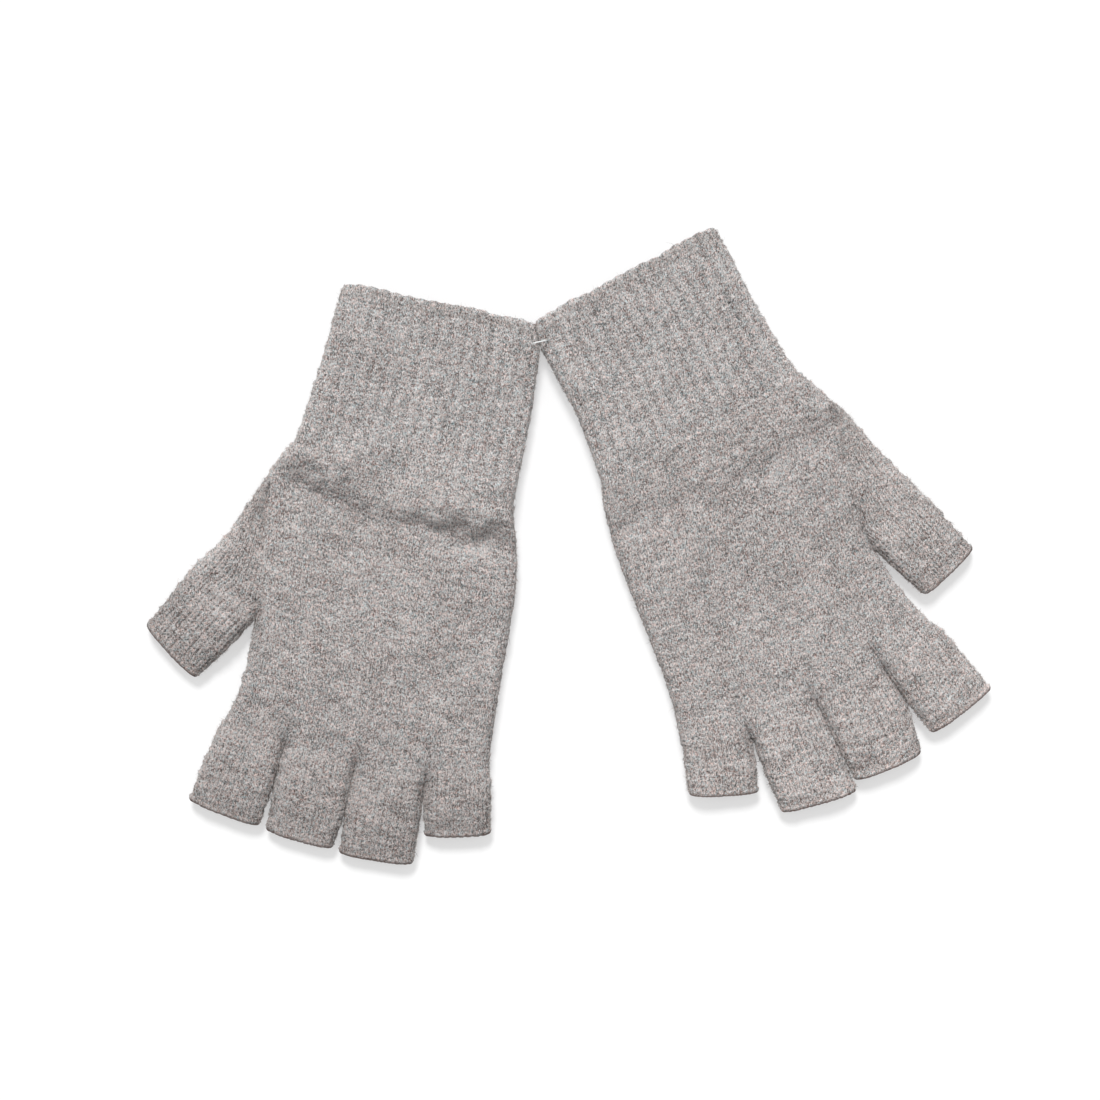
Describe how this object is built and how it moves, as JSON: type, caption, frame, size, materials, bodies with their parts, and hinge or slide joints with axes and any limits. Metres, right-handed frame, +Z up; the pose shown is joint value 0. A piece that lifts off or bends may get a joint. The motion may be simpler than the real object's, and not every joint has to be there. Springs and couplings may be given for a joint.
{
  "type": "fingerless gloves",
  "caption": "Pair of knitted half-finger gloves laid flat in a V, with ribbed cuffs, open finger stalls and a nylon tack that joins the cuffs.",
  "frame": {"origin": "centre of the pair's box, on the surface that the gloves lie on", "axes": "+Z up, out of the table; +Y towards the cuffs, away from the fingers; +X towards the right-hand glove"},
  "size_m": [0.3056, 0.2318, 0.0093],
  "materials": {
    "rib_knit": "two-by-two ribbed heather grey wool and cashmere knit with a soft halo",
    "plain_knit": "plain heather grey wool and cashmere knit, brushed, with a soft halo",
    "stall_knit": "plain heather grey knit in tubes, brushed",
    "cast_on_edge": "loopy cast-on edge of the rib",
    "bound_edge": "rolled, bound-off edge, a little browner and denser than the knit",
    "joining_stitch": "tight joining stitches in the same yarn",
    "nylon": "clear moulded nylon"
  },
  "bodies": {
    "left_cuff": {"left_cuff": "rib_knit", "left_cuff_welt": "cast_on_edge"},
    "left_hand": {"left_hand": "plain_knit", "left_thumb_fork": "joining_stitch", "left_index_fork": "joining_stitch", "left_middle_fork": "joining_stitch", "left_ring_fork": "joining_stitch"},
    "left_thumb": {"left_thumb": "stall_knit", "left_thumb_edge": "bound_edge"},
    "left_index": {"left_index": "stall_knit", "left_index_edge": "bound_edge"},
    "left_middle": {"left_middle": "stall_knit", "left_middle_edge": "bound_edge"},
    "left_ring": {"left_ring": "stall_knit", "left_ring_edge": "bound_edge"},
    "left_little": {"left_little": "stall_knit", "left_little_edge": "bound_edge"},
    "right_cuff": {"right_cuff": "rib_knit", "right_cuff_welt": "cast_on_edge"},
    "right_hand": {"right_hand": "plain_knit", "right_thumb_fork": "joining_stitch", "right_index_fork": "joining_stitch", "right_middle_fork": "joining_stitch", "right_ring_fork": "joining_stitch"},
    "right_thumb": {"right_thumb": "stall_knit", "right_thumb_edge": "bound_edge"},
    "right_index": {"right_index": "stall_knit", "right_index_edge": "bound_edge"},
    "right_middle": {"right_middle": "stall_knit", "right_middle_edge": "bound_edge"},
    "right_ring": {"right_ring": "stall_knit", "right_ring_edge": "bound_edge"},
    "right_little": {"right_little": "stall_knit", "right_little_edge": "bound_edge"},
    "tack": {"pairing_tack": "nylon"}
  },
  "joints": [
    {"name": "left_wrist_fold", "type": "hinge", "parent": "left_cuff", "child": "left_hand", "pos_m": [-0.06123, 0.02364, 0.0082], "axis": [-0.9613, 0.2756, 0], "range_deg": [0, 65]},
    {"name": "left_thumb_bend", "type": "hinge", "parent": "left_hand", "child": "left_thumb", "pos_m": [-0.12527, -0.01792, 0.0082], "axis": [-0.7314, 0.682, 0], "range_deg": [0, 70]},
    {"name": "left_index_bend", "type": "hinge", "parent": "left_hand", "child": "left_index", "pos_m": [-0.11433, -0.06828, 0.0082], "axis": [-0.9455, 0.3256, 0], "range_deg": [0, 90]},
    {"name": "left_middle_bend", "type": "hinge", "parent": "left_hand", "child": "left_middle", "pos_m": [-0.08942, -0.07647, 0.0082], "axis": [-0.9703, 0.2419, 0], "range_deg": [0, 90]},
    {"name": "left_ring_bend", "type": "hinge", "parent": "left_hand", "child": "left_ring", "pos_m": [-0.0641, -0.08321, 0.0082], "axis": [-0.9848, 0.1736, 0], "range_deg": [0, 90]},
    {"name": "left_little_bend", "type": "hinge", "parent": "left_hand", "child": "left_little", "pos_m": [-0.03922, -0.08462, 0.0082], "axis": [-1, 0, 0], "range_deg": [0, 90]},
    {"name": "right_wrist_fold", "type": "hinge", "parent": "right_cuff", "child": "right_hand", "pos_m": [0.049, 0.03986, 0.0082], "axis": [-0.866, -0.5, 0], "range_deg": [0, 65]},
    {"name": "right_thumb_bend", "type": "hinge", "parent": "right_hand", "child": "right_thumb", "pos_m": [0.11873, 0.00829, 0.0082], "axis": [-0.7071, -0.7071, 0], "range_deg": [0, 70]},
    {"name": "right_index_bend", "type": "hinge", "parent": "right_hand", "child": "right_index", "pos_m": [0.12369, -0.03711, 0.0082], "axis": [-0.7986, -0.6018, 0], "range_deg": [0, 90]},
    {"name": "right_middle_bend", "type": "hinge", "parent": "right_hand", "child": "right_middle", "pos_m": [0.10133, -0.05117, 0.0082], "axis": [-0.8988, -0.4384, 0], "range_deg": [0, 90]},
    {"name": "right_ring_bend", "type": "hinge", "parent": "right_hand", "child": "right_ring", "pos_m": [0.07812, -0.06457, 0.0082], "axis": [-0.9272, -0.3746, 0], "range_deg": [0, 90]},
    {"name": "right_little_bend", "type": "hinge", "parent": "right_hand", "child": "right_little", "pos_m": [0.05277, -0.07067, 0.0082], "axis": [-0.9925, -0.1219, 0], "range_deg": [0, 90]},
    {"name": "left_tack_swivel", "type": "hinge", "parent": "left_cuff", "child": "tack", "pos_m": [-0.01743, 0.06975, 0.0082], "axis": [0, 0, 1], "range_deg": [-6, 8]},
    {"name": "right_tack_swivel", "type": "hinge", "parent": "tack", "child": "right_cuff", "pos_m": [-0.00345, 0.0747, 0.0082], "axis": [0, 0, 1], "range_deg": [-6, 8]}
  ]
}
